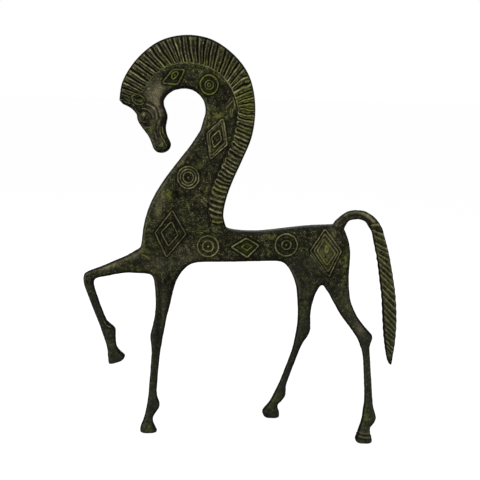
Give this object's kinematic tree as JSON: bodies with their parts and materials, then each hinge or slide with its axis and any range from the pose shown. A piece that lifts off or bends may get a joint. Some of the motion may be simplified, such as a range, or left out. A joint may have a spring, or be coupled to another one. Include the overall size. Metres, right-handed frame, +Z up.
{
  "type": "horse figurine",
  "caption": "Flat cast bronze horse with an arched neck, a tall comb of mane locks, one raised foreleg and an arching tail, standing on three hooves.",
  "frame": {"origin": "centre of the figure's footprint rectangle, on the floor it stands on", "axes": "+Z up, -X the way the horse looks, -Y its near (left) side, +Y its far side; +Y is the thin direction"},
  "size_m": [0.2384, 0.0536, 0.3001],
  "materials": {
    "patinated_bronze": "dark olive-brown patina on rough cast bronze",
    "bronze_rod": "drawn bronze rod, dulled"
  },
  "bodies": {
    "root": {"trunk": "patinated_bronze", "neck": "patinated_bronze", "head": "patinated_bronze", "mane_crest": "patinated_bronze", "raised_foreleg": "patinated_bronze", "standing_foreleg": "patinated_bronze", "far_hind_leg": "patinated_bronze", "near_hind_leg": "patinated_bronze", "tail": "patinated_bronze", "neck_pin": "bronze_rod", "head_pin": "bronze_rod", "raised_foreleg_pin": "bronze_rod", "standing_foreleg_pin": "bronze_rod", "far_hind_leg_pin": "bronze_rod", "near_hind_leg_pin": "bronze_rod", "tail_pin": "bronze_rod", "crest_dowel_front": "bronze_rod", "crest_dowel_top": "bronze_rod", "crest_dowel_rear": "bronze_rod"}
  },
  "joints": []
}
